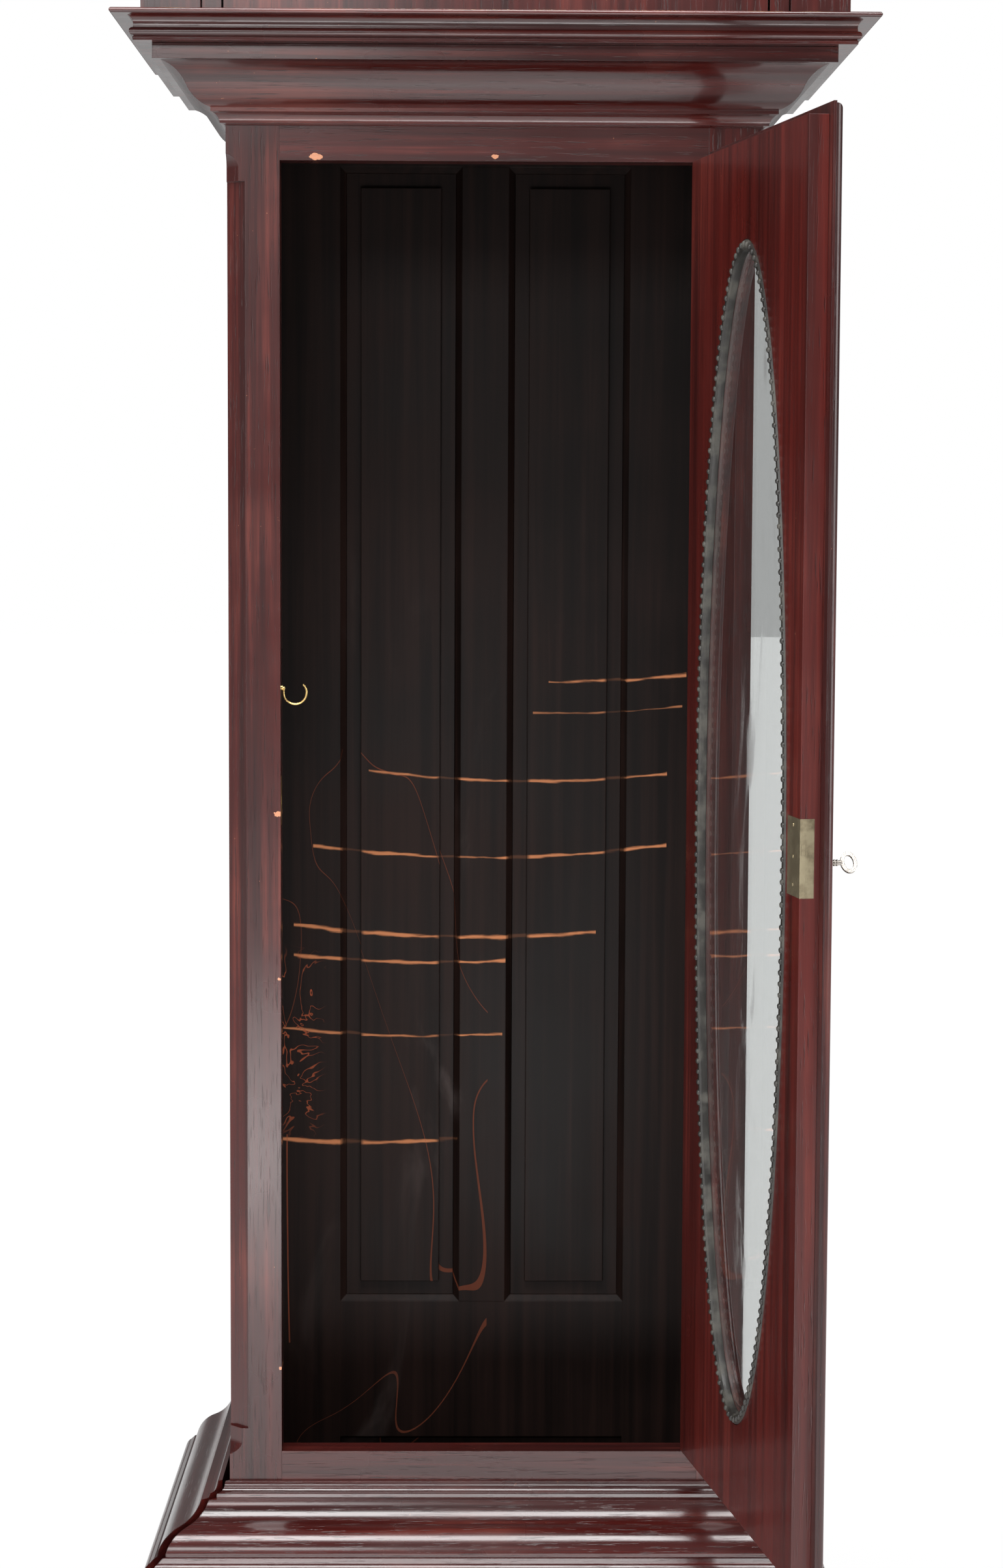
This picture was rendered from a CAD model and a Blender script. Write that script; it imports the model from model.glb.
"""A mahogany longcase clock with its trunk door open, finished and lit for the studio."""

import logging
import math
from dataclasses import dataclass, field
from enum import Enum
from functools import cached_property
from typing import Callable, Sequence

import bmesh
import bpy
from mathutils import Matrix, Vector


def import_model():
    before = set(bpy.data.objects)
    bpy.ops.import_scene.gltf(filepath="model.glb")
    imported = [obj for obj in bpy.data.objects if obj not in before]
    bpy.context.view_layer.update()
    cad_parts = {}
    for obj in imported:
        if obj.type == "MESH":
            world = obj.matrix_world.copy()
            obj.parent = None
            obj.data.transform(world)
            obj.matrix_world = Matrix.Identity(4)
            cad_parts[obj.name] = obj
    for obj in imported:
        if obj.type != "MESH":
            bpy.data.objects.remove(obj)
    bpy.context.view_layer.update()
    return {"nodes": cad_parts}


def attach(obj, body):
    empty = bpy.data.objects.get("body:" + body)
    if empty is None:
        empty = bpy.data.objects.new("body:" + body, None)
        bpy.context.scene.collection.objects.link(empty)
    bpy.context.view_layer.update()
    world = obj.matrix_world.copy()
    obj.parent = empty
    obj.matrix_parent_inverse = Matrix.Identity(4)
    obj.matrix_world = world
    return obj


LOG = logging.getLogger("longcase_clock")
MM = 0.001
Colour = tuple[float, float, float]
SHIFT_SHARES = (1.0, 0.7, 1.3)
EDGE_SAMPLES = 4
PORE_STRETCH = 0.05


class Grain(Enum):
    """Which way the wood's grain runs."""

    UPRIGHT = (1.0, 1.0, 0.02)
    ACROSS = (0.02, 1.0, 1.0)
    DEEP = (1.0, 0.02, 1.0)


class Value:
    """A shader socket that can be added, multiplied and compared like a number."""

    def __init__(self, graph: "Graph", socket: bpy.types.NodeSocket) -> None:
        """Wraps a socket.

        Args:
            graph: The graph that the socket is in.
            socket: The output socket.
        """
        self.graph = graph
        self.socket = socket

    def _math(self, operation: str, *others: "Value | float") -> "Value":
        """One maths node.

        Args:
            operation: Blender's name for the sum.
            others: The inputs after this one.

        Returns:
            The node's output.
        """
        return self.graph.node("ShaderNodeMath", dict(enumerate((self, *others))), operation=operation)

    def __add__(self, other: "Value | float") -> "Value":
        """The sum of two values."""
        return self._math("ADD", other)

    def __sub__(self, other: "Value | float") -> "Value":
        """This value less another."""
        return self._math("SUBTRACT", other)

    def __rsub__(self, other: float) -> "Value":
        """A number less this value."""
        return self._math("MULTIPLY_ADD", -1.0, other)

    def __mul__(self, other: "Value | float") -> "Value":
        """The product of two values."""
        return self._math("MULTIPLY", other)

    def __pow__(self, other: float) -> "Value":
        """The value raised to a power."""
        return self._math("POWER", other)

    __radd__ = __add__
    __rmul__ = __mul__

    def size(self) -> "Value":
        """The value without its sign."""
        return self._math("ABSOLUTE")

    def above(self, limit: "Value | float") -> "Value":
        """1 where the value is greater than the limit."""
        return self._math("GREATER_THAN", limit)

    def below(self, limit: "Value | float") -> "Value":
        """1 where the value is less than the limit."""
        return self._math("LESS_THAN", limit)

    def most(self, other: "Value | float") -> "Value":
        """The greater of two values."""
        return self._math("MAXIMUM", other)

    def between(self, low: float, high: float, low_out: float = 0.0, high_out: float = 1.0) -> "Value":
        """The value carried smoothly from one range to another.

        Args:
            low: Where the result starts to change.
            high: Where it stops changing.
            low_out: The result at low.
            high_out: The result at high.

        Returns:
            The new value.
        """
        inputs = {"Value": self, "From Min": low, "From Max": high, "To Min": low_out, "To Max": high_out}
        return self.graph.node("ShaderNodeMapRange", inputs, interpolation_type="SMOOTHSTEP")


class Graph:
    """The nodes of one material, or of the world."""

    def __init__(self, owner: "bpy.types.Material | bpy.types.World") -> None:
        """Starts with no nodes.

        Args:
            owner: The material or world that the nodes belong to.
        """
        owner.use_nodes = True
        self.owner = owner
        self.tree = owner.node_tree
        self.tree.nodes.clear()

    @cached_property
    def place(self) -> Value:
        """The object's own coordinates at the shaded point."""
        return self.node("ShaderNodeTexCoord", output="Object")

    def node(
        self, kind: str, inputs: dict | None = None, output: str | int = 0, **settings: object
    ) -> "Value | None":
        """Adds a node.

        Args:
            kind: The node's type.
            inputs: Values or links, by socket name or number.
            output: Which output is wanted.
            settings: The node's own settings.

        Returns:
            The wanted output, or None if the node has none.
        """
        made = self.tree.nodes.new(kind)
        for name, value in settings.items():
            setattr(made, name, value)
        for key, value in (inputs or {}).items():
            if isinstance(value, Value):
                self.tree.links.new(value.socket, made.inputs[key])
            elif isinstance(value, tuple) and len(value) == 3 and made.inputs[key].type == "RGBA":
                made.inputs[key].default_value = (*value, 1.0)
            else:
                made.inputs[key].default_value = value
        return Value(self, made.outputs[output]) if made.outputs else None

    def axes(self) -> tuple[Value, Value, Value]:
        """Splits the object's own coordinates.

        Returns:
            X, Y and Z at the shaded point, in metres.
        """
        split = self.tree.nodes.new("ShaderNodeSeparateXYZ")
        self.tree.links.new(self.place.socket, split.inputs[0])
        return tuple(Value(self, out) for out in split.outputs)

    def stretched(self, scale: Sequence[float], shift: float = 0.0) -> Value:
        """The object's coordinates, scaled on each axis and shifted off their middle.

        Args:
            scale: The scale on each axis.
            shift: How far the coordinates are moved, which gives each finish a pattern of its own.

        Returns:
            The new coordinates.
        """
        location = tuple(shift * share for share in SHIFT_SHARES)
        inputs = {"Vector": self.place, "Scale": tuple(scale), "Location": location}
        return self.node("ShaderNodeMapping", inputs)

    def noise(
        self,
        scale: float,
        detail: float = 4.0,
        stretch: Sequence[float] = (1, 1, 1),
        shift: float = 0.0,
        warp: float = 0.0,
        roughness: float = 0.55,
    ) -> Value:
        """Cloudy noise from 0 to 1.

        Args:
            scale: How fine the clouds are.
            detail: How many finer layers are laid over the first.
            stretch: The scale on each axis; a small one draws the clouds out along it.
            shift: Which part of the noise is used.
            warp: How far the clouds are twisted.
            roughness: How strong the finer layers are.

        Returns:
            The noise.
        """
        inputs = {
            "Vector": self.stretched(stretch, shift),
            "Scale": scale,
            "Detail": detail,
            "Distortion": warp,
            "Roughness": roughness,
        }
        return self.node("ShaderNodeTexNoise", inputs)

    def mix(self, factor: Value | float, first: "Value | Colour", second: "Value | Colour") -> Value:
        """Two colours mixed."""
        return self.node("ShaderNodeMix", {0: factor, 6: first, 7: second}, output=2, data_type="RGBA")

    def bump(self, height: Value, distance: float, edge: float = 0.0) -> Value:
        """A surface raised by a height, with its edges eased.

        Args:
            height: The height, as a share of the distance.
            distance: How far a height of 1 stands up, in metres.
            edge: The radius of the eased edges, in metres.

        Returns:
            The surface's direction.
        """
        inputs = {"Height": height, "Distance": distance, "Strength": 1.0}
        if edge:
            inputs["Normal"] = self.node("ShaderNodeBevel", {"Radius": edge}, samples=EDGE_SAMPLES)
        return self.node("ShaderNodeBump", inputs)

    def finish(self, **inputs: "Value | Colour | float") -> bpy.types.Material:
        """Ends the material with a Principled shader.

        Args:
            inputs: The shader's inputs, with spaces written as underscores.

        Returns:
            The finished material.
        """
        named = {key.replace("_", " "): value for key, value in inputs.items()}
        shader = self.node("ShaderNodeBsdfPrincipled", named)
        self.node("ShaderNodeOutputMaterial", {"Surface": shader})
        return self.owner


@dataclass(frozen=True)
class Arc:
    """A curved scratch, as a long pendulum leaves; its sizes are in millimetres.

    It runs from left to right, is lowest at middle, where it is at height, and strength is how bare it leaves
    the wood.
    """

    left: float
    right: float
    height: float
    middle: float = -5.0
    width: float = 2.4
    strength: float = 1.0


SCRATCHES = (
    Arc(61, 202, 1270, 60, 3.6, 1.0),
    Arc(45, 198, 1238, 60, 2.0, 0.6),
    Arc(-123, 183, 1168, 40, 2.8, 0.85),
    Arc(-180, 183, 1089, -5, 3.0, 0.9),
    Arc(-200, 111, 1006, -15, 3.4, 0.95),
    Arc(-200, 18, 980, -60, 2.8, 0.9),
    Arc(-211, 15, 903, -60, 2.6, 0.8),
    Arc(-212, -31, 792, -120, 3.6, 0.9),
)



@dataclass(frozen=True)
class Chip:
    """A spot where the polish is knocked off, in millimetres."""

    across: float
    height: float
    radius: float


CHIPS = (
    Chip(-162.8, 1767.0, 7.0),
    Chip(0.3, 1768.0, 4.0),
    Chip(-197.7, 1165.0, 5.5),
    Chip(-198.0, 1010.0, 2.4),
    Chip(-196.5, 640.0, 2.6),
)


@dataclass(frozen=True)
class Mahogany:
    """French-polished mahogany, worn and a little dirty."""

    name: str
    grain: Grain
    dark: Colour = (0.016, 0.0024, 0.0022)
    middle: Colour = (0.066, 0.0082, 0.0065)
    light: Colour = (0.20, 0.045, 0.030)
    gloss: float = 0.30
    coat: float = 0.45
    shift: float = 0.0
    chips: bool = False
    worn: Colour = (0.42, 0.17, 0.085)
    bare: Colour = (0.50, 0.22, 0.12)

    def material(self) -> bpy.types.Material:
        """Builds the finish.

        Returns:
            The new material.
        """
        g = Graph(bpy.data.materials.new(self.name))
        run = self.grain.value
        short = tuple(max(part, PORE_STRETCH) for part in run)
        figure = g.noise(scale=14.0, detail=3.0, stretch=run, shift=self.shift, warp=0.8)
        along = self.shift + 3.1
        streak = g.noise(scale=90.0, detail=5.0, stretch=run, shift=along, warp=0.25, roughness=0.62)
        pores = g.noise(scale=620.0, detail=2.0, stretch=short, shift=self.shift)
        cloud = g.noise(scale=5.0, shift=self.shift + 8.0)
        tone = (figure * 0.35 + streak * 0.65).between(0.30, 0.70)
        colour = g.mix(tone, self.dark, self.middle)
        colour = g.mix((streak * cloud * 2.0).between(0.50, 0.95) * 0.45, colour, self.light)
        colour = g.mix(pores.between(0.60, 0.72) * 0.75, colour, self.dark)
        specks = g.noise(scale=210.0, detail=2.0, shift=self.shift + 1.7)
        wear = specks.between(0.745, 0.775) * cloud.between(0.5, 0.62)
        colour = g.mix(wear * 0.7, colour, self.worn)
        if self.chips:
            colour = self._chipped(g, colour)
        rough = cloud.between(0.3, 0.7, self.gloss - 0.07, self.gloss + 0.12) + wear * 0.25
        surface = g.bump(streak * 0.25 - pores.between(0.58, 0.75) * 0.5, distance=0.0004, edge=0.0011)
        return g.finish(
            Base_Color=colour,
            Roughness=rough,
            Normal=surface,
            Coat_Weight=self.coat,
            Coat_Roughness=0.14,
            IOR=1.4,
        )

    def _chipped(self, g: Graph, colour: Value) -> Value:
        """Bare spots where the polish has been knocked off the edges of the doorway.

        Args:
            g: The material's graph.
            colour: The wood's colour.

        Returns:
            The colour with the spots.
        """
        x, _, z = g.axes()
        ragged = g.noise(scale=330.0, detail=3.0)
        for chip in CHIPS:
            reach = ((x - chip.across * MM) * 0.6) ** 2.0 + (z - chip.height * MM) ** 2.0
            spot = (reach ** 0.5 + ragged * 0.004).below((chip.radius * 0.45 + 2.0) * MM)
            colour = g.mix(spot, colour, self.bare)
        return colour


@dataclass(frozen=True)
class StainedBack:
    """The almost black back of the case, with scratches, rubs and drips; its sizes are in millimetres."""

    name: str
    dark: Colour = (0.0055, 0.0032, 0.0027)
    middle: Colour = (0.018, 0.0085, 0.0066)
    bare: Colour = (0.56, 0.215, 0.095)
    rub: Colour = (0.40, 0.10, 0.045)
    dust: Colour = (0.20, 0.16, 0.15)
    panels_middle: float = -5.3
    panels_apart: float = 85.3
    sag: float = 0.38

    def material(self) -> bpy.types.Material:
        """Builds the finish.

        Returns:
            The new material.
        """
        g = Graph(bpy.data.materials.new(self.name))
        x, _, z = g.axes()
        run = Grain.UPRIGHT.value
        grain = g.noise(scale=85.0, detail=5.0, stretch=run, shift=2.0, warp=0.4, roughness=0.62)
        cloud = g.noise(scale=4.5, shift=5.0)
        colour = g.mix((grain * 0.6 + cloud * 0.4).between(0.36, 0.68), self.dark, self.middle)
        rubbed = self._arcs(g, x, z)
        colour = g.mix(rubbed, colour, self.bare)
        scuffed = self._scuffs(g, x, z)
        colour = g.mix(scuffed * 0.75, colour, self.rub)
        dusty = g.noise(scale=9.0, detail=5.0, stretch=(1.0, 1.0, 0.35), shift=7.0, warp=1.2)
        dusty = dusty.between(0.60, 0.78) * z.between(1.5, 1.1)
        colour = g.mix(dusty * 0.16, colour, self.dust)
        marks = rubbed.most(scuffed)
        rough = cloud.between(0.3, 0.7, 0.42, 0.55) + marks * 0.3
        surface = g.bump(grain * 0.3 - marks * 0.5, distance=0.0004, edge=0.0014)
        return g.finish(Base_Color=colour, Roughness=rough, Normal=surface, IOR=1.3, Specular_IOR_Level=0.35)

    def _arcs(self, g: Graph, x: Value, z: Value) -> Value:
        """The curved scratches, broken up by noise.

        Args:
            g: The material's graph.
            x: The place across the back.
            z: The height.

        Returns:
            How bare the wood is, from 0 to 1.
        """
        wander = g.noise(scale=24.0, detail=2.0, shift=3.0) - 0.5
        broken = g.noise(scale=16.0, detail=3.0, stretch=(1.0, 1.0, 0.3), shift=9.0)
        fine = g.noise(scale=260.0, stretch=(0.12, 1.0, 1.0), shift=4.0)
        off_panel = ((x - self.panels_middle * MM).size() - self.panels_apart * MM).size()
        proud = off_panel.between(0.036, 0.041, 1.0, 0.12) + off_panel.between(0.058, 0.063)
        total: Value | None = None
        for arc in SCRATCHES:
            line = (x - arc.middle * MM) ** 2.0 * self.sag + arc.height * MM + wander * 0.004
            depth = (z - line).size() * (1.0 / (arc.width * MM))
            edge = broken * 1.5 + fine * 1.3 - depth * 0.9 - 0.22
            inside = x.above(arc.left * MM) * x.below(arc.right * MM)
            mark = edge.between(0.50, 1.15) * inside * proud * arc.strength
            total = mark if total is None else total.most(mark)
        return total

    def _scuffs(self, g: Graph, x: Value, z: Value) -> Value:
        """Squiggled scuffs low on the left, fine drips and hair scratches.

        Args:
            g: The material's graph.
            x: The place across the back.
            z: The height.

        Returns:
            How rubbed the wood is, from 0 to 1.
        """
        near = x.between(-0.165, -0.182) * z.between(0.79, 0.83) * z.between(1.0, 0.96)
        crackle = g.noise(scale=15.0, detail=2.0, stretch=(1.0, 1.0, 0.75), shift=6.0, warp=3.5) - 0.5
        squiggle = crackle.size().between(0.016, 0.004) * near
        sway = g.noise(scale=3.0, detail=1.0, shift=1.0) - 0.5
        drip = (x + 0.205 + sway * 0.015).size().below(0.0007) * z.below(0.80) * z.above(0.58)
        hair = g.noise(scale=2.6, detail=1.0, stretch=(1.0, 1.0, 0.6), shift=12.0, warp=2.2) - 0.5
        hair = hair.size().below(0.0011) * z.below(1.2) * x.below(0.0) * 0.35
        return squiggle.most(drip * 0.6).most(hair)


@dataclass(frozen=True)
class Metal:
    """A rubbed or tarnished metal."""

    name: str
    colour: Colour
    tarnish: Colour
    roughness: float = 0.3
    amount: float = 0.5
    metallic: float = 1.0

    def material(self) -> bpy.types.Material:
        """Builds the finish.

        Returns:
            The new material.
        """
        g = Graph(bpy.data.materials.new(self.name))
        cloud = g.noise(scale=55.0, detail=5.0, shift=self.roughness * 7.0)
        fine = g.noise(scale=900.0, detail=2.0, stretch=(1.0, 1.0, 0.15))
        stain = cloud.between(0.42, 0.68) * self.amount
        colour = g.mix(stain, self.colour, self.tarnish)
        rough = stain * 0.25 + fine * 0.12 + (self.roughness - 0.05)
        surface = g.bump(fine + cloud, distance=0.00008, edge=0.0004)
        return g.finish(Base_Color=colour, Roughness=rough, Metallic=self.metallic, Normal=surface)


@dataclass(frozen=True)
class Glass:
    """Old plate glass with faint smears."""

    name: str
    tint: Colour = (0.93, 0.96, 0.95)
    smear: float = 0.10

    def material(self) -> bpy.types.Material:
        """Builds the finish.

        Returns:
            The new material.
        """
        g = Graph(bpy.data.materials.new(self.name))
        cloud = g.noise(scale=11.0, detail=5.0, stretch=(1.0, 1.0, 0.25), shift=2.0, warp=2.5)
        rough = cloud.between(0.55, 0.72) * self.smear
        return g.finish(Base_Color=self.tint, Roughness=rough, Transmission_Weight=1.0, IOR=1.5)


@dataclass(frozen=True)
class ChapterSilver:
    """The silvered ring with its engraved minute track; its sizes are in millimetres."""

    name: str
    centre: float = 2121.2
    track: tuple[float, float] = (154.5, 160.5)
    rings: tuple[float, ...] = (154.2, 160.8, 119.5)
    line: float = 0.3
    tick: float = 0.045
    bright: Colour = (0.74, 0.72, 0.66)
    dull: Colour = (0.46, 0.42, 0.34)
    ink: Colour = (0.012, 0.011, 0.012)

    def material(self) -> bpy.types.Material:
        """Builds the finish.

        Returns:
            The new material.
        """
        g = Graph(bpy.data.materials.new(self.name))
        x, _, z = g.axes()
        height = z - self.centre * MM
        radius = (x ** 2.0 + height ** 2.0) ** 0.5
        angle = g.node("ShaderNodeMath", {0: x, 1: height}, operation="ARCTAN2") * (30.0 / math.pi)
        minute = g.node("ShaderNodeMath", {0: angle + 60.5, 1: 1.0}, operation="FRACT") - 0.5
        inner, outer = self.track
        ink = minute.size().below(self.tick) * radius.above(inner * MM) * radius.below(outer * MM)
        for ring in self.rings:
            ink = ink.most((radius - ring * MM).size().below(self.line * MM))
        brushed = g.noise(scale=500.0, detail=3.0, stretch=(0.05, 1.0, 1.0))
        cloud = g.noise(scale=20.0)
        silver = g.mix(cloud.between(0.4, 0.75) * 0.5, self.bright, self.dull)
        return g.finish(
            Base_Color=g.mix(ink, silver, self.ink),
            Metallic=ink * -0.6 + 0.6,
            Roughness=brushed * 0.15 + 0.34,
            Normal=g.bump(ink * -1.0, distance=0.0001, edge=0.0004),
        )


class Finish(Enum):
    """The clock's finishes by name."""

    UPRIGHT = Mahogany("mahogany_upright", Grain.UPRIGHT)
    DOORWAY = Mahogany("mahogany_doorway", Grain.UPRIGHT, shift=1.3, chips=True)
    RAIL = Mahogany("mahogany_rail", Grain.ACROSS, shift=2.1, chips=True)
    MOULDING = Mahogany("mahogany_moulding", Grain.ACROSS, shift=4.4, gloss=0.22, coat=0.7)
    RETURN = Mahogany("mahogany_return", Grain.DEEP, shift=5.2, gloss=0.24, coat=0.7)
    DOOR = Mahogany(
        "mahogany_door",
        Grain.UPRIGHT,
        dark=(0.026, 0.0034, 0.0028),
        middle=(0.092, 0.0105, 0.0078),
        light=(0.17, 0.028, 0.018),
        gloss=0.34,
        coat=0.3,
        shift=7.7,
    )
    DARK_CASE = Mahogany(
        "mahogany_inside",
        Grain.UPRIGHT,
        dark=(0.006, 0.003, 0.0026),
        middle=(0.02, 0.008, 0.006),
        light=(0.05, 0.018, 0.012),
        gloss=0.45,
        coat=0.1,
        shift=3.3,
    )
    BOARD = Mahogany(
        "pine_board",
        Grain.ACROSS,
        dark=(0.12, 0.055, 0.022),
        middle=(0.25, 0.125, 0.052),
        light=(0.34, 0.19, 0.09),
        gloss=0.6,
        coat=0.0,
        shift=6.0,
    )
    BACK = StainedBack("stained_back")
    BRASS = Metal("old_brass", (0.55, 0.36, 0.13), (0.16, 0.095, 0.035), roughness=0.34, amount=0.75)
    BRIGHT_BRASS = Metal(
        "lacquered_brass", (0.78, 0.55, 0.22), (0.45, 0.28, 0.10), roughness=0.24, amount=0.45
    )
    LOCK = Metal("lock_brass", (0.42, 0.36, 0.24), (0.12, 0.095, 0.06), roughness=0.4, amount=0.8)
    STEEL = Metal("worn_steel", (0.50, 0.47, 0.43), (0.15, 0.12, 0.10), roughness=0.3, amount=0.6)
    BLUED = Metal("blued_steel", (0.012, 0.02, 0.065), (0.02, 0.012, 0.03), roughness=0.25, amount=0.4)
    ROPE = Metal(
        "dark_bead", (0.022, 0.020, 0.018), (0.07, 0.065, 0.055), roughness=0.34, amount=0.9, metallic=0.15
    )
    GLASS = Glass("plate_glass")
    SILVER = ChapterSilver("silvered_ring")
    INK = Metal(
        "black_wax", (0.008, 0.008, 0.009), (0.02, 0.018, 0.016), roughness=0.4, amount=0.3, metallic=0.0
    )

    def made(self) -> bpy.types.Material:
        """The material, built once."""
        return bpy.data.materials.get(self.value.name) or self.value.material()


def mesh_object(
    name: str, build: Callable[[bmesh.types.BMesh], None], finish: Finish, smooth: bool = False
) -> bpy.types.Object:
    """A mesh piece at the origin.

    Args:
        name: The piece's name.
        build: Fills the empty mesh.
        finish: What it is finished in.
        smooth: Whether its faces are shaded smooth.

    Returns:
        The new object, linked to the scene.
    """
    mesh = bpy.data.meshes.new(name)
    work = bmesh.new()
    build(work)
    for face in work.faces:
        face.smooth = smooth
    work.to_mesh(mesh)
    work.free()
    mesh.materials.append(finish.made())
    made = bpy.data.objects.new(name, mesh)
    bpy.context.scene.collection.objects.link(made)
    return made


class RingOfPieces:
    """A geometry-nodes tool: one small piece repeated round an ellipse in the XZ plane."""

    SOCKETS = (
        ("Half Width", "Float"),
        ("Half Height", "Float"),
        ("Count", "Int"),
        ("Piece", "Object"),
        ("Lean", "Vector"),
        ("Finish", "Material"),
        ("Jitter", "Float"),
        ("Seed", "Int"),
    )
    CIRCLE_POINTS = 512
    SEED = 7

    def __init__(self) -> None:
        """Makes the tool's inputs and nodes."""
        self.group = bpy.data.node_groups.new("ring_of_pieces", "GeometryNodeTree")
        self.inputs: dict[str, str] = {}
        face = self.group.interface
        face.new_socket("Geometry", in_out="INPUT", socket_type="NodeSocketGeometry")
        for name, kind in self.SOCKETS:
            item = face.new_socket(name, in_out="INPUT", socket_type="NodeSocket" + kind)
            self.inputs[name] = item.identifier
        face.new_socket("Geometry", in_out="OUTPUT", socket_type="NodeSocketGeometry")
        self._wire()

    def _add(self, kind: str, links: dict | None = None, **settings: object) -> bpy.types.Node:
        """Adds a node.

        Args:
            kind: The node's type.
            links: Values or sockets, by the name or number of the input that they go to.
            settings: The node's own settings.

        Returns:
            The node.
        """
        made = self.group.nodes.new(kind)
        for name, value in settings.items():
            setattr(made, name, value)
        for key, value in (links or {}).items():
            if isinstance(value, bpy.types.NodeSocket):
                self.group.links.new(value, made.inputs[key])
            else:
                made.inputs[key].default_value = value
        return made

    def _wire(self) -> None:
        """Circle, stretched to the ellipse, evened out, and a piece on every point."""
        entry = self._add("NodeGroupInput").outputs
        circle = self._add(
            "GeometryNodeCurvePrimitiveCircle", {"Resolution": self.CIRCLE_POINTS, "Radius": 1.0}
        )
        stretch = self._add(
            "ShaderNodeCombineXYZ", {"X": entry["Half Width"], "Y": 1.0, "Z": entry["Half Height"]}
        )
        stand = self._add(
            "GeometryNodeTransform", {"Geometry": circle.outputs[0], "Rotation": (math.pi / 2, 0, 0)}
        )
        oval = self._add("GeometryNodeTransform", {"Geometry": stand.outputs[0], "Scale": stretch.outputs[0]})
        points = self._add("GeometryNodeCurveToPoints", {"Curve": oval.outputs[0], "Count": entry["Count"]})
        piece = self._add("GeometryNodeObjectInfo", {"Object": entry["Piece"]})
        turn = self._add(
            "FunctionNodeRotateRotation",
            {"Rotation": points.outputs["Rotation"], "Rotate By": entry["Lean"]},
            rotation_space="LOCAL",
        )
        low = self._add("ShaderNodeMath", {0: 1.0, 1: entry["Jitter"]}, operation="SUBTRACT")
        scale = self._add(
            "FunctionNodeRandomValue", {"Min": low.outputs[0], "Max": 1.0, "Seed": entry["Seed"]}
        )
        placed = self._add("GeometryNodeInstanceOnPoints", {
            "Points": points.outputs["Points"], "Instance": piece.outputs["Geometry"],
            "Rotation": turn.outputs[0], "Scale": scale.outputs[1]})
        real = self._add("GeometryNodeRealizeInstances", {"Geometry": placed.outputs[0]})
        coated = self._add(
            "GeometryNodeSetMaterial", {"Geometry": real.outputs[0], "Material": entry["Finish"]}
        )
        self._add("NodeGroupOutput", {0: coated.outputs[0]})

    def make(
        self, name: str, piece: bpy.types.Object, finish: Finish, place: Matrix, **values: object
    ) -> bpy.types.Object:
        """Runs the tool and keeps its result as a plain mesh.

        Args:
            name: The new object's name.
            piece: What is repeated; it is removed afterwards.
            finish: The finish of the repeated pieces.
            place: Where the ring goes.
            values: The tool's inputs, with spaces written as underscores.

        Returns:
            The new object.
        """
        holder = bpy.data.objects.new(name + "_tool", bpy.data.meshes.new(name + "_tool"))
        bpy.context.scene.collection.objects.link(holder)
        modifier = holder.modifiers.new("ring", "NODES")
        modifier.node_group = self.group
        for key, value in {"Piece": piece, "Finish": finish.made(), "Seed": self.SEED, **values}.items():
            modifier[self.inputs[key.replace("_", " ")]] = value
        bpy.context.view_layer.update()
        mesh = bpy.data.meshes.new_from_object(holder.evaluated_get(bpy.context.evaluated_depsgraph_get()))
        mesh.transform(place)
        made = bpy.data.objects.new(name, mesh)
        bpy.context.scene.collection.objects.link(made)
        for spare in (holder, piece):
            bpy.data.objects.remove(spare, do_unlink=True)
        return made


class Assembly:
    """A group of CAD nodes and the finish of each."""

    finishes: dict[Finish, tuple[str, ...]] = {}

    def __init__(self, nodes: dict[str, bpy.types.Object]) -> None:
        """Keeps the nodes.

        Args:
            nodes: The CAD nodes by name.
        """
        self.nodes = nodes

    def build(self) -> None:
        """Finishes the nodes and adds what the CAD leaves out."""
        for finish, names in self.finishes.items():
            for name in names:
                mesh = self.nodes[name].data
                mesh.materials.clear()
                mesh.materials.append(finish.made())
                LOG.info("finished %s in %s", name, finish.value.name)
        self.add_detail()

    def add_detail(self) -> None:
        """Pieces that only the scene has."""


class Base(Assembly):
    """The base with its skirting and mouldings."""

    finishes = {
        Finish.UPRIGHT: ("base_front_frame", "base_sides"),
        Finish.RAIL: ("base_front_panel",),
        Finish.MOULDING: ("base_skirting", "base_moulding_front"),
        Finish.RETURN: ("base_moulding_returns",),
        Finish.BOARD: ("base_floor_board", "base_back_board"),
    }


class Trunk(Assembly):
    """The trunk's carcass, back and small fittings."""

    FACING = 0.5
    finishes = {
        Finish.DOORWAY: ("trunk_stiles",),
        Finish.RAIL: ("trunk_rails",),
        Finish.MOULDING: ("throat_moulding",),
        Finish.BACK: ("back_frame", "back_panels"),
        Finish.BOARD: ("seat_board",),
        Finish.BRASS: ("trunk_hinge_case_leaves", "lock_keeper"),
        Finish.BRIGHT_BRASS: ("cup_hook",),
    }

    def add_detail(self) -> None:
        """The sides are polished outside and nearly black inside."""
        mesh = self.nodes["trunk_sides"].data
        mesh.materials.clear()
        mesh.materials.append(Finish.UPRIGHT.made())
        mesh.materials.append(Finish.DARK_CASE.made())
        for polygon in mesh.polygons:
            inward = polygon.normal.x * (1 if polygon.center.x < 0 else -1)
            polygon.material_index = 1 if inward > self.FACING else 0


@dataclass(frozen=True)
class OvalSizes:
    """The door's oval and its pin, in millimetres, and the degrees and radians that the pieces turn."""

    half_width: float = 146.6
    half_height: float = 510.6
    middle_x: float = 1.4
    middle_z: float = 1163.7
    depth: float = -149.6
    pin: tuple[float, float] = (201.5, -174.8)
    angle: float = 99.7
    beads: int = 236
    bead_length: float = 6.3
    bead_radius: float = 3.1
    bead_flat: tuple[float, float] = (0.85, 0.75)
    lean: float = 0.9
    jitter: float = 0.12


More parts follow.
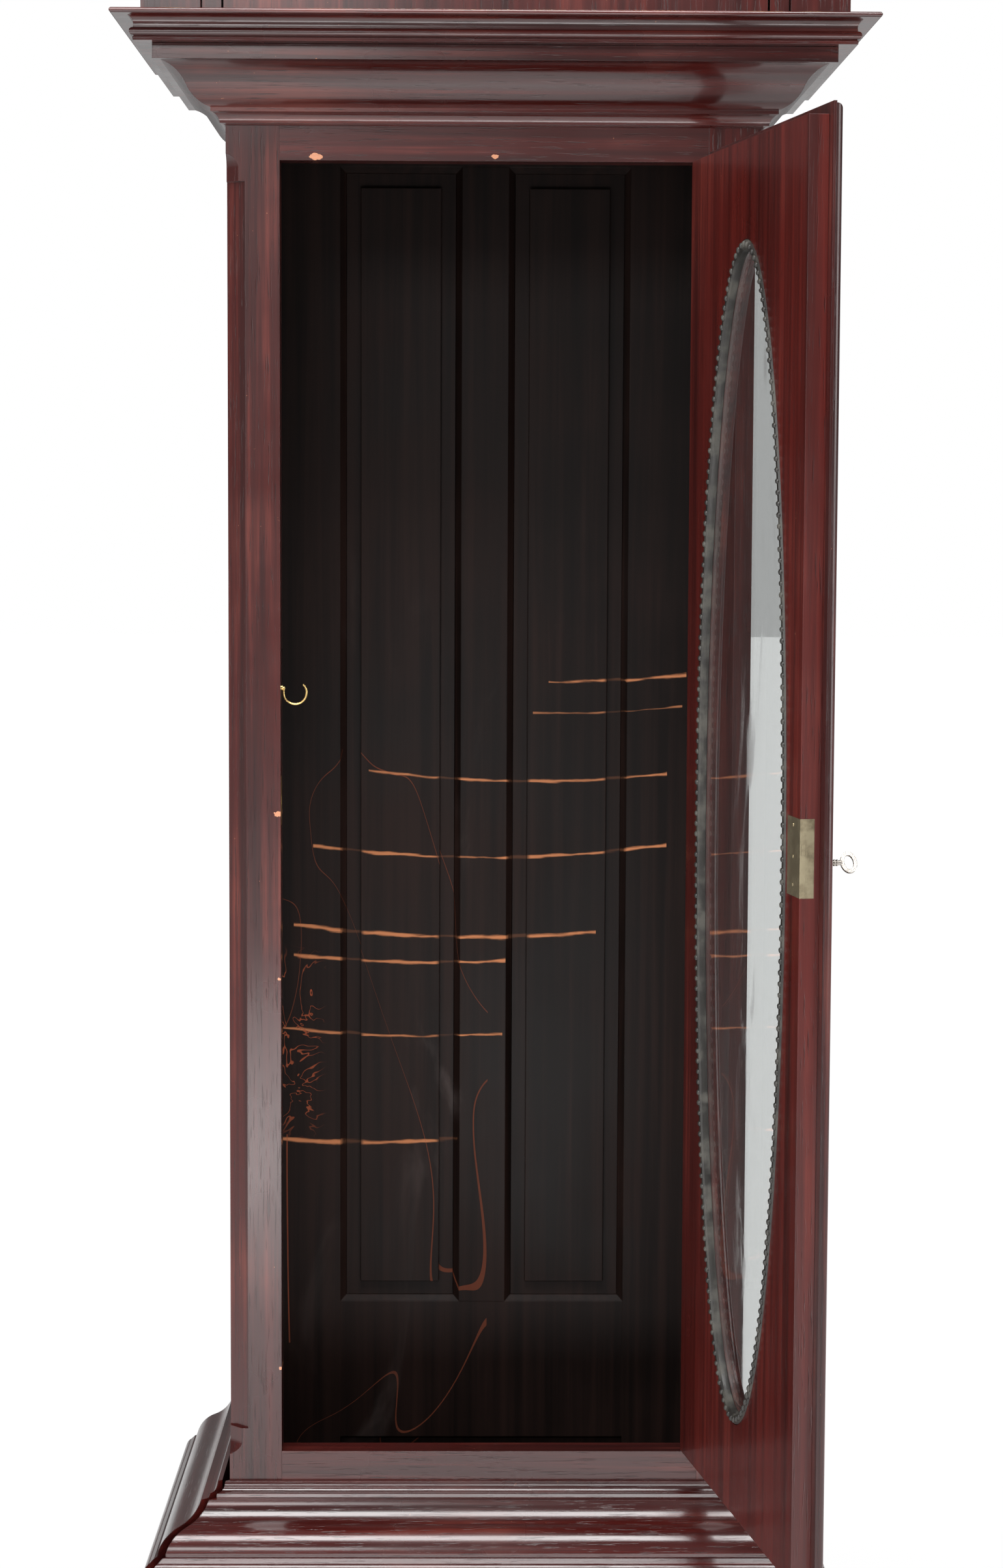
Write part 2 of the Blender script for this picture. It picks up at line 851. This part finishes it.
class TrunkDoor(Assembly):
    """The open door with its glass, bead, lock and key."""

    finishes = {
        Finish.DOOR: ("trunk_door_leaf",),
        Finish.UPRIGHT: ("trunk_door_lip", "oval_front_moulding"),
        Finish.GLASS: ("oval_glass",),
        Finish.ROPE: ("oval_rope_bead",),
        Finish.LOCK: ("lock_case", "lock_bolt"),
        Finish.BRASS: ("key_escutcheon", "trunk_hinge_door_leaves"),
        Finish.STEEL: ("trunk_key",),
    }

    def __init__(
        self, nodes: dict[str, bpy.types.Object], tool: RingOfPieces, sizes: OvalSizes = OvalSizes()
    ) -> None:
        """Keeps the nodes, the tool and the sizes.

        Args:
            nodes: The CAD nodes by name.
            tool: What repeats a piece round the oval.
            sizes: The door's sizes.
        """
        super().__init__(nodes)
        self.tool = tool
        self.sizes = sizes

    def opened(self) -> Matrix:
        """Turns what is built shut to where the door stands.

        Returns:
            The turn about the door's pin.
        """
        x, y = self.sizes.pin
        pin = Matrix.Translation((x * MM, y * MM, 0.0))
        return pin @ Matrix.Rotation(math.radians(self.sizes.angle), 4, "Z") @ pin.inverted()

    def add_detail(self) -> None:
        """The rope carving on the bead: short leaning beads all the way round."""
        s = self.sizes

        def bead(work: bmesh.types.BMesh) -> None:
            """One bead, longer than it is wide."""
            bmesh.ops.create_uvsphere(work, u_segments=10, v_segments=8, radius=s.bead_radius * MM)
            stretch = (*s.bead_flat, s.bead_length / s.bead_radius / 2)
            bmesh.ops.scale(work, vec=stretch, verts=work.verts)

        piece = mesh_object("rope_bead_piece", bead, Finish.ROPE, smooth=True)
        place = self.opened() @ Matrix.Translation((s.middle_x * MM, s.depth * MM, s.middle_z * MM))
        rope = self.tool.make(
            "rope_carving",
            piece,
            Finish.ROPE,
            place,
            Half_Width=s.half_width * MM,
            Half_Height=s.half_height * MM,
            Count=s.beads,
            Lean=Vector((0.0, s.lean, 0.0)),
            Jitter=s.jitter,
        )
        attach(rope, "trunk_door")
        LOG.info("made %s", rope.name)


class Hood(Assembly):
    """The hood and its glazed door."""

    finishes = {
        Finish.MOULDING: ("hood_base", "hood_cornice", "hood_frieze"),
        Finish.UPRIGHT: ("hood_sides", "hood_columns", "hood_door_frame"),
        Finish.RAIL: ("hood_pediment",),
        Finish.DARK_CASE: ("hood_dial_mask",),
        Finish.GLASS: ("hood_side_glasses", "hood_door_glass"),
        Finish.BRIGHT_BRASS: ("hood_column_rings", "hood_finial", "hood_door_catch"),
        Finish.BRASS: ("hood_hinge_leaves", "hood_door_hinge_leaves"),
    }


@dataclass(frozen=True)
class DialSizes:
    """The dial's numerals and corner scrolls, in millimetres, radians and shares."""

    centre: float = 2121.2
    face: float = -194.5
    plate: float = -192.5
    numeral_radius: float = 136.5
    numeral_height: float = 25.0
    stroke: float = 3.4
    gap: float = 6.2
    relief: float = 0.3
    wide: float = 1.9
    thin: float = 0.4
    v_lean: float = 0.17
    v_apart: float = 2.3
    x_lean: float = 0.36
    corner: float = 146.0
    boss: float = 9.0
    scroll_beads: int = 14
    scroll_turn: float = 0.42
    scroll_start: float = 10.0
    scroll_step: float = 2.4
    scroll_swing: float = 5.0
    scroll_side: float = 6.0
    scroll_bead: float = 4.6
    scroll_shrink: float = 0.22


class Movement(Assembly):
    """The dial, hands, train, pendulum and bell."""

    NUMERALS = ("XII", "I", "II", "III", "IIII", "V", "VI", "VII", "VIII", "IX", "X", "XI")
    FLATNESS = 0.3
    finishes = {
        Finish.BRIGHT_BRASS: (
            "dial_plate",
            "movement_plates",
            "spring_barrel",
            "intermediate_wheel",
            "centre_wheel",
            "third_wheel",
            "escape_wheel",
            "minute_wheel",
            "hour_wheel",
            "pendulum",
            "bell",
        ),
        Finish.SILVER: ("chapter_ring",),
        Finish.BLUED: ("minute_hand", "hour_hand"),
        Finish.STEEL: ("winding_arbor", "pallets_and_crutch", "hammer"),
    }

    def __init__(self, nodes: dict[str, bpy.types.Object], sizes: DialSizes = DialSizes()) -> None:
        """Keeps the nodes and the sizes.

        Args:
            nodes: The CAD nodes by name.
            sizes: The dial's sizes.
        """
        super().__init__(nodes)
        self.sizes = sizes

    def add_detail(self) -> None:
        """Numerals on the ring and cast scrolls in the corners."""
        numerals = mesh_object("dial_numerals", self._numerals, Finish.INK)
        spandrels = mesh_object("dial_spandrels", self._spandrels, Finish.BRASS, smooth=True)
        for made in (numerals, spandrels):
            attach(made, "case")
            LOG.info("made %s", made.name)

    def _stroke(self, work: bmesh.types.BMesh, x: float, lean: float, width: float, turn: float) -> None:
        """One stroke of a numeral, set round the dial.

        Args:
            work: The mesh that it is added to.
            x: How far it stands from the numeral's middle, in millimetres.
            lean: How far it leans, in radians.
            width: Its width, in millimetres.
            turn: How far round the dial the numeral is, in radians.
        """
        s = self.sizes
        box = bmesh.ops.create_cube(work, size=1.0)["verts"]
        place = (
            Matrix.Translation((0, (s.face - s.relief / 2) * MM, s.centre * MM))
            @ Matrix.Rotation(turn, 4, "Y")
            @ Matrix.Translation((x * MM, 0, s.numeral_radius * MM))
            @ Matrix.Rotation(lean, 4, "Y")
            @ Matrix.Diagonal((width * MM, s.relief * MM, s.numeral_height * MM, 1))
        )
        bmesh.ops.transform(work, matrix=place, verts=box)

    def _numerals(self, work: bmesh.types.BMesh) -> None:
        """The twelve Roman hours, built of strokes.

        Args:
            work: The mesh that they are added to.
        """
        s = self.sizes
        widths = {"I": s.gap, "V": s.gap * s.wide, "X": s.gap * s.wide}
        for hour, numeral in enumerate(self.NUMERALS):
            turn = math.radians(30.0 * hour)
            start = -sum(widths[letter] for letter in numeral) / 2
            for letter in numeral:
                middle = start + widths[letter] / 2
                start += widths[letter]
                if letter == "I":
                    self._stroke(work, middle, 0.0, s.stroke, turn)
                elif letter == "V":
                    self._stroke(work, middle - s.v_apart, -s.v_lean, s.stroke, turn)
                    self._stroke(work, middle + s.v_apart, s.v_lean, s.stroke * s.thin, turn)
                else:
                    self._stroke(work, middle, -s.x_lean, s.stroke, turn)
                    self._stroke(work, middle, s.x_lean, s.stroke * s.thin, turn)

    def _spandrels(self, work: bmesh.types.BMesh) -> None:
        """A boss and two scrolls of shrinking beads in each corner of the dial.

        Args:
            work: The mesh that they are added to.
        """
        s = self.sizes
        for side in (-1, 1):
            for rise in (-1, 1):
                corner = Vector((side * s.corner, 0, rise * s.corner))
                self._bead(work, corner, s.boss)
                for number in range(s.scroll_beads):
                    reach = s.scroll_start + number * s.scroll_step
                    wave = s.scroll_side + math.sin(number * s.scroll_turn) * s.scroll_swing
                    radius = s.scroll_bead - number * s.scroll_shrink
                    self._bead(work, corner + Vector((-side * reach, 0, rise * wave)), radius)
                    self._bead(work, corner + Vector((side * wave, 0, -rise * reach)), radius)

    def _bead(self, work: bmesh.types.BMesh, place: Vector, radius: float) -> None:
        """One flattened bead on the dial plate.

        Args:
            work: The mesh that it is added to.
            place: Where it is from the dial's centre, in millimetres.
            radius: Its radius, in millimetres.
        """
        s = self.sizes
        made = bmesh.ops.create_uvsphere(work, u_segments=12, v_segments=8, radius=radius * MM)["verts"]
        spot = Vector((place.x * MM, s.plate * MM, s.centre * MM + place.z * MM))
        flat = Matrix.Diagonal((1, self.FLATNESS, 1, 1))
        bmesh.ops.transform(work, matrix=Matrix.Translation(spot) @ flat, verts=made)


@dataclass(frozen=True)
class CameraSizes:
    """Where the camera stands, in millimetres and radians."""

    place: tuple[float, float, float] = (-31.79, -3154.03, 1462.37)
    pitch: float = 0.0898
    yaw: float = -0.0136
    roll: float = 0.0044
    lens: float = 74.2
    sensor: float = 36.0
    farthest: float = 100.0


@dataclass(frozen=True)
class Softbox:
    """One large soft light, in metres and watts."""

    name: str
    place: tuple[float, float, float]
    target: tuple[float, float, float]
    size: tuple[float, float]
    power: float


@dataclass
class Studio:
    """The camera, lights, floor and white surround."""

    camera: CameraSizes = field(default_factory=CameraSizes)
    softboxes: tuple[Softbox, ...] = (
        Softbox("left_box", (-2.6, -2.2, 2.2), (0, 0, 1.2), (1.6, 2.6), 62.0),
        Softbox("right_box", (2.9, -1.8, 2.0), (0, 0, 1.2), (1.6, 2.6), 58.0),
        Softbox("top_box", (0.0, -1.6, 3.9), (0, 0, 1.3), (2.4, 1.2), 120.0),
        Softbox("front_box", (-1.0, -4.6, 2.9), (0, 0, 1.2), (1.6, 0.8), 34.0),
        Softbox("low_box", (0.0, -2.6, 0.35), (0, 0, 1.9), (1.6, 0.5), 16.0),
    )
    floor_reach: float = 30.0
    floor_grey: Colour = (0.86, 0.86, 0.86)
    floor_strength: float = 1.02
    surround_light: float = 0.55
    polish_dims: float = 0.38

    def build(self) -> None:
        """Sets up everything that isn't the clock."""
        self._camera()
        for box in self.softboxes:
            self._light(box)
        self._floor()
        self._world()
        bpy.context.scene.view_settings.view_transform = "Standard"

    def _camera(self) -> None:
        """The camera at the photo's angle."""
        c = self.camera
        flat = Vector((math.cos(c.yaw), math.sin(c.yaw), 0))
        level = math.cos(c.pitch)
        ahead = Vector((-math.sin(c.yaw) * level, math.cos(c.yaw) * level, -math.sin(c.pitch)))
        upright = flat.cross(ahead)
        right = flat * math.cos(c.roll) + upright * math.sin(c.roll)
        up = upright * math.cos(c.roll) - flat * math.sin(c.roll)
        data = bpy.data.cameras.new("camera")
        data.lens = c.lens
        data.sensor_width = c.sensor
        data.clip_end = c.farthest
        made = bpy.data.objects.new("camera", data)
        turn = Matrix((right, up, -ahead)).transposed().to_4x4()
        made.matrix_world = Matrix.Translation(Vector(c.place) * MM) @ turn
        bpy.context.scene.collection.objects.link(made)
        bpy.context.scene.camera = made

    def _light(self, box: Softbox) -> None:
        """A rectangular light aimed at the clock.

        Args:
            box: The light's sizes.
        """
        data = bpy.data.lights.new(box.name, "AREA")
        data.shape = "RECTANGLE"
        data.size, data.size_y = box.size
        data.energy = box.power
        made = bpy.data.objects.new(box.name, data)
        made.location = box.place
        made.rotation_euler = (Vector(box.target) - Vector(box.place)).to_track_quat("-Z", "Y").to_euler()
        bpy.context.scene.collection.objects.link(made)

    def _floor(self) -> None:
        """A pale floor that is lost in the white surround."""
        g = Graph(bpy.data.materials.new("pale_floor"))
        seen = g.node("ShaderNodeLightPath", output="Is Camera Ray")
        seen = seen.most(g.node("ShaderNodeLightPath", output="Is Transmission Ray"))
        x, y, _ = g.axes()
        away = ((x ** 2.0 + y ** 2.0) ** 0.5).between(0.6, 1.9, 0.8, 1.0)
        matt = g.node("ShaderNodeBsdfDiffuse", {"Color": self.floor_grey})
        bright = g.node("ShaderNodeEmission", {"Color": (1.0, 1.0, 1.0), "Strength": self.floor_strength})
        both = g.node("ShaderNodeMixShader", {0: seen * away, 1: matt, 2: bright})
        g.node("ShaderNodeOutputMaterial", {"Surface": both})
        mesh = bpy.data.meshes.new("floor")
        corners = ((-1, -1), (1, -1), (1, 1), (-1, 1))
        spots = [(x * self.floor_reach, y * self.floor_reach, 0) for x, y in corners]
        mesh.from_pydata(spots, [], [(0, 1, 2, 3)])
        mesh.materials.append(g.owner)
        made = bpy.data.objects.new("floor", mesh)
        bpy.context.scene.collection.objects.link(made)

    def _world(self) -> None:
        """White where the camera or glass sees it, dimmer as light, and dimmest in polish."""
        world = bpy.data.worlds.new("white_surround")
        g = Graph(world)
        seen = g.node("ShaderNodeLightPath", output="Is Camera Ray")
        seen = seen.most(g.node("ShaderNodeLightPath", output="Is Transmission Ray"))
        polish = g.node("ShaderNodeLightPath", output="Is Glossy Ray")
        strength = seen * (1.0 - self.surround_light) + self.surround_light - polish * self.polish_dims
        sky = g.node("ShaderNodeBackground", {"Color": (1.0, 1.0, 1.0), "Strength": strength})
        g.node("ShaderNodeOutputWorld", {"Surface": sky})
        bpy.context.scene.world = world


def main() -> None:
    """Builds, finishes and lights the clock."""
    logging.basicConfig(level=logging.INFO)
    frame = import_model()
    nodes = frame["nodes"]
    tool = RingOfPieces()
    for assembly in (Base(nodes), Trunk(nodes), TrunkDoor(nodes, tool), Hood(nodes), Movement(nodes)):
        assembly.build()
        LOG.info("built %s", type(assembly).__name__)
    Studio().build()


if __name__ == "__main__":
    main()
